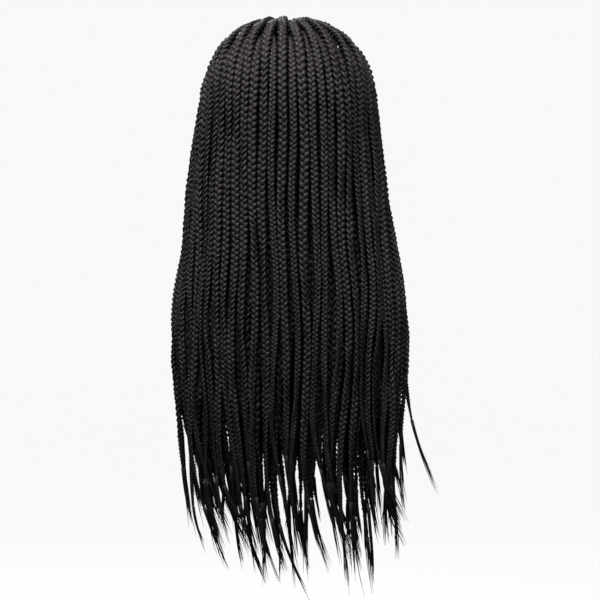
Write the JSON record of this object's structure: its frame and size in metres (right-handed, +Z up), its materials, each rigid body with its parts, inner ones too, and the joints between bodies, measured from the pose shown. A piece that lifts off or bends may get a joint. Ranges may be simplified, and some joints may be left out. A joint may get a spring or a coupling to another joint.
{
  "type": "braid wig",
  "caption": "Long wig of three-strand braids on a stretch cap, parted in the middle and falling behind the shoulders to the waist in tapered tips.",
  "frame": {"origin": "inside crown of the cap, the highest point of the hollow that the head fills", "axes": "+Z up out of the crown, -Y towards the face opening, +X towards the wearer's left"},
  "size_m": [0.305, 0.2128, 0.6654],
  "materials": {
    "cap_net": "matt black stretch net",
    "braided_hair": "soft black synthetic hair fibre, low sheen",
    "row_hair": "soft black synthetic hair fibre, low sheen"
  },
  "bodies": {
    "root": {"cap": "cap_net", "left_braid_01": "braided_hair", "left_braid_02": "braided_hair", "left_braid_03": "braided_hair", "left_braid_04": "braided_hair", "left_braid_05": "braided_hair", "left_braid_06": "braided_hair", "left_braid_07": "braided_hair", "left_braid_08": "braided_hair", "left_braid_09": "braided_hair", "left_braid_10": "braided_hair", "left_braid_11": "braided_hair", "left_braid_12": "braided_hair", "left_braid_13": "braided_hair", "left_braid_14": "braided_hair", "left_braid_15": "braided_hair", "left_braid_16": "braided_hair", "right_braid_01": "braided_hair", "right_braid_02": "braided_hair", "right_braid_03": "braided_hair", "right_braid_04": "braided_hair", "right_braid_05": "braided_hair", "right_braid_06": "braided_hair", "right_braid_07": "braided_hair", "right_braid_08": "braided_hair", "right_braid_09": "braided_hair", "right_braid_10": "braided_hair", "right_braid_11": "braided_hair", "right_braid_12": "braided_hair", "right_braid_13": "braided_hair", "right_braid_14": "braided_hair", "right_braid_15": "braided_hair", "right_braid_16": "braided_hair", "crown_row": "row_hair", "upper_row": "row_hair", "middle_row": "row_hair", "lower_row": "row_hair", "nape_row": "row_hair"}
  },
  "joints": []
}
